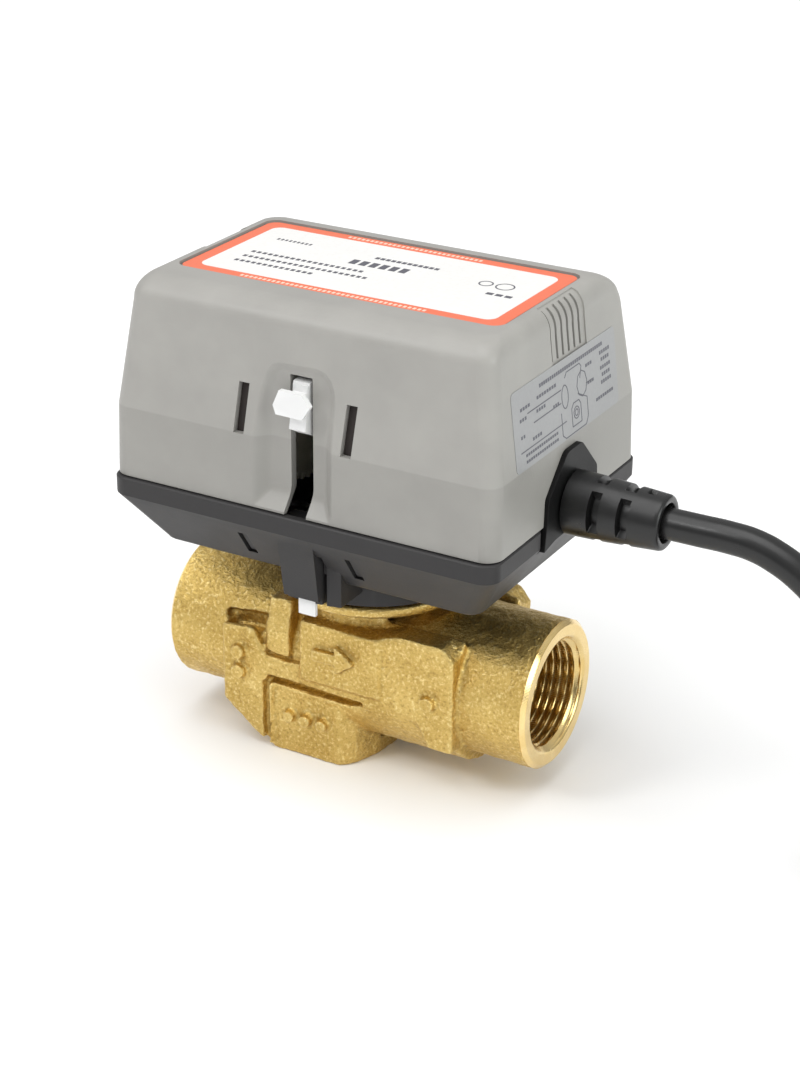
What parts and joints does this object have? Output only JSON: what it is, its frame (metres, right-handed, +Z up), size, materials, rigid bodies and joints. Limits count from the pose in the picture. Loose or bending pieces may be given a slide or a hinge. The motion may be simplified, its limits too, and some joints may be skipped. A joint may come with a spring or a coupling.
{
  "type": "zone valve",
  "caption": "Motorised zone valve: threaded brass two-port body with a lift-off geared actuator, manual lever, release latch and flying lead.",
  "frame": {"origin": "centre of the valve's outline at the level of the cast foot, on the stem's axis", "axes": "+X along the pipe towards port A and the cord, +Y to the back, away from the manual lever, +Z up the stem"},
  "size_m": [0.2554, 0.1072, 0.1151],
  "materials": {
    "cast_brass": "sand-cast brass with machined port faces and threads",
    "turned_brass": "turned and polished",
    "black_nylon": "moulded, satin",
    "dark_case": "moulded, fine texture",
    "grey_case": "moulded, fine spark texture, satin",
    "white_nylon": "moulded, satin",
    "label_film": "printed self-adhesive film, orange border",
    "silver_film": "printed silver film",
    "seal_rubber": "smooth",
    "zinc_steel": "zinc plated sheet and bar",
    "bright_steel": "ground",
    "acetal": "natural gear plastic",
    "switch_black": "moulded",
    "plunger_red": "moulded",
    "board_green": "varnished board",
    "terminal_green": "moulded",
    "capacitor_amber": "dipped",
    "cord_black": "smooth flexible sheath",
    "lead_brown": "wire insulation",
    "lead_blue": "wire insulation",
    "lead_green_yellow": "wire insulation, striped",
    "lead_grey": "wire insulation",
    "lead_orange": "wire insulation"
  },
  "bodies": {
    "valve": {"valve_body": "cast_brass", "bayonet_ring": "turned_brass", "cartridge_cage": "black_nylon", "cage_lower_seal": "seal_rubber", "cage_upper_seal": "seal_rubber"},
    "actuator": {"base_tray": "dark_case", "cover": "grey_case", "top_label": "label_film", "wiring_label": "silver_film", "gland_plate": "black_nylon", "strain_relief": "cord_black", "left_frame_plate": "zinc_steel", "right_frame_plate": "zinc_steel", "frame_post_1": "bright_steel", "frame_post_2": "bright_steel", "frame_post_3": "bright_steel", "arm_axle": "bright_steel", "gear_axle": "bright_steel", "return_spring": "bright_steel", "motor_can": "zinc_steel", "motor_end_plate": "zinc_steel", "motor_gearbox_hub": "switch_black", "upper_switch": "switch_black", "lower_switch": "switch_black", "circuit_board": "board_green", "terminal_block": "terminal_green", "terminal_screw_1": "bright_steel", "terminal_screw_2": "bright_steel", "terminal_screw_3": "bright_steel", "terminal_screw_4": "bright_steel", "terminal_screw_5": "bright_steel", "motor_capacitor": "capacitor_amber", "latch_spring": "bright_steel", "inner_cable": "cord_black", "cord_tube": "cord_black", "cord_coil": "cord_black", "cord_tail": "cord_black", "lead_brown": "lead_brown", "lead_blue": "lead_blue", "lead_green_yellow": "lead_green_yellow", "lead_grey": "lead_grey", "lead_orange": "lead_orange"},
    "arm": {"lever_arm": "white_nylon", "sector_gear": "acetal"},
    "idler": {"compound_gear": "acetal"},
    "motor_output": {"motor_pinion": "turned_brass", "motor_shaft": "bright_steel"},
    "valve_stem": {"stem": "bright_steel", "stem_spool": "white_nylon", "plug": "black_nylon", "plug_seal": "seal_rubber"},
    "latch": {"latch_tab": "white_nylon"},
    "upper_plunger": {"upper_switch_plunger": "plunger_red"},
    "lower_plunger": {"lower_switch_plunger": "plunger_red"}
  },
  "joints": [
    {"name": "actuator_turn", "type": "hinge", "parent": "valve", "child": "actuator", "pos_m": [0, 0, 0.0575], "axis": [0, 0, 1], "range_deg": [0, 45]},
    {"name": "arm_swing", "type": "hinge", "parent": "actuator", "child": "arm", "pos_m": [0, 0.028, 0.085], "axis": [1, 0, 0], "range_deg": [0, 18.5], "stiffness_Nm_per_rad": 0.3, "springref_deg": -57.3},
    {"name": "idler_spin", "type": "hinge", "parent": "actuator", "child": "idler", "pos_m": [0, -0.00786, 0.08186], "axis": [1, 0, 0], "range_deg": [-148.01, 0]},
    {"name": "motor_spin", "type": "hinge", "parent": "actuator", "child": "motor_output", "pos_m": [0, 0.00881, 0.08964], "axis": [1, 0, 0], "range_deg": [0, 532.9]},
    {"name": "stem_slide", "type": "slide", "parent": "valve", "child": "valve_stem", "axis": [0, 0, 1], "range_m": [-0.00917, 0]},
    {"name": "latch_slide", "type": "slide", "parent": "actuator", "child": "latch", "axis": [0, 0, 1], "range_m": [0, 0.0025], "stiffness_N_per_m": 300, "springref_m": -0.003},
    {"name": "upper_plunger_slide", "type": "slide", "parent": "actuator", "child": "upper_plunger", "axis": [0, 0, 1], "range_m": [0, 0.001], "stiffness_N_per_m": 500, "springref_m": -0.001},
    {"name": "lower_plunger_slide", "type": "slide", "parent": "actuator", "child": "lower_plunger", "axis": [0, 0, -1], "range_m": [0, 0.001], "stiffness_N_per_m": 500, "springref_m": -0.001}
  ],
  "couplings": [
    {"joint": "idler_spin", "follows": "arm_swing", "ratio": -8},
    {"joint": "motor_spin", "follows": "arm_swing", "ratio": 28.8},
    {"joint": "stem_slide", "follows": "arm_swing", "m_per_rad": -0.02838}
  ]
}
